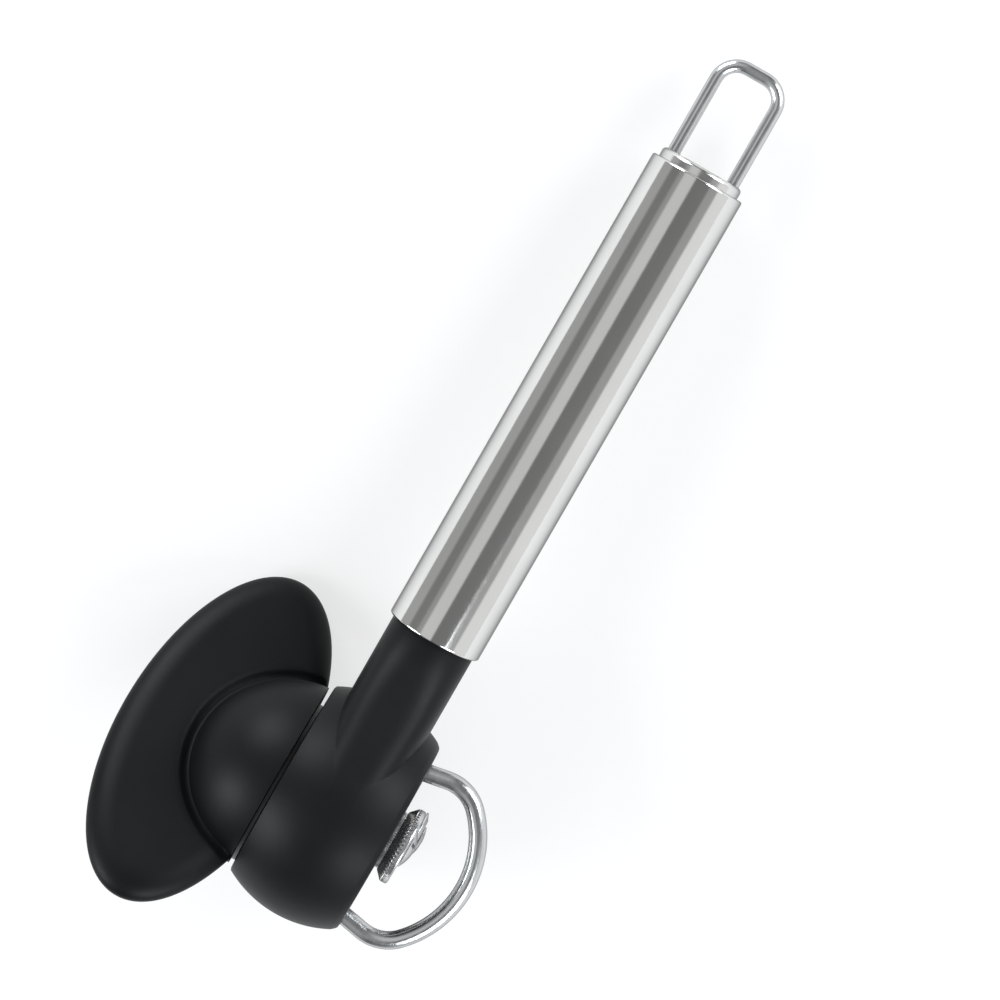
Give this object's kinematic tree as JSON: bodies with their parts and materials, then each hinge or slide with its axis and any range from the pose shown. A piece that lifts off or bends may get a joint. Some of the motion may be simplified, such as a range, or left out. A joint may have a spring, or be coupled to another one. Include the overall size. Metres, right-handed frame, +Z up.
{
  "type": "manual can opener",
  "caption": "Manual can opener with a steel tube handle, wire hanging loop, ball-shaped head, oval butterfly knob, toothed drive wheel, cutter disc and wire guide ring.",
  "frame": {"origin": "middle of the footprint's bounding box, on the table it lies on", "axes": "+Y from the head to the hanging loop, +X along the barrel axis from the knob to the drive wheel, +Z up; the handle dips 5.7 degrees toward the loop"},
  "size_m": [0.0792, 0.1992, 0.0484],
  "materials": {
    "steel_tube": "lengthwise satin",
    "steel_cap": "turned satin",
    "steel_wire": "drawn wire",
    "zinc_steel": "zinc plated",
    "hard_steel": "hardened and plated",
    "black_nylon": "fine matte moulding",
    "black_knob": "fine matte moulding",
    "dark_acetal": "smooth",
    "pale_acetal": "smooth",
    "brass": "turned",
    "bronze": "sintered"
  },
  "bodies": {
    "opener": {"handle_tube": "steel_tube", "end_cap": "steel_cap", "hanging_loop": "steel_wire", "tie_rod": "zinc_steel", "rod_nut": "zinc_steel", "rod_insert": "brass", "head_housing": "black_nylon", "bore_liner": "pale_acetal", "stop_pin": "zinc_steel", "guide_ring": "steel_wire", "cutter_insert": "brass", "cutter_spacer": "hard_steel", "cutter_axle": "hard_steel"},
    "sleeve": {"eccentric_sleeve": "dark_acetal", "sleeve_bushes": "bronze"},
    "drive": {"knob": "black_knob", "knob_insert": "zinc_steel", "cross_pin": "zinc_steel", "drive_shaft": "zinc_steel", "wave_washer": "zinc_steel", "wheel_washer": "hard_steel", "drive_wheel": "hard_steel", "wheel_screw": "hard_steel"},
    "cutter": {"cutter_wheel": "hard_steel", "cutter_bush": "bronze"}
  },
  "joints": [
    {"name": "sleeve_turn", "type": "hinge", "parent": "opener", "child": "sleeve", "pos_m": [0.00758, -0.06923, 0.02602], "axis": [1, 0, 0], "range_deg": [0, 120]},
    {"name": "drive_turn", "type": "hinge", "parent": "sleeve", "child": "drive", "pos_m": [0.00758, -0.0684, 0.0242], "axis": [1, 0, 0], "continuous": true},
    {"name": "cutter_turn", "type": "hinge", "parent": "opener", "child": "cutter", "pos_m": [0.02477, -0.06957, 0.01246], "axis": [1, 0, 0], "continuous": true}
  ]
}
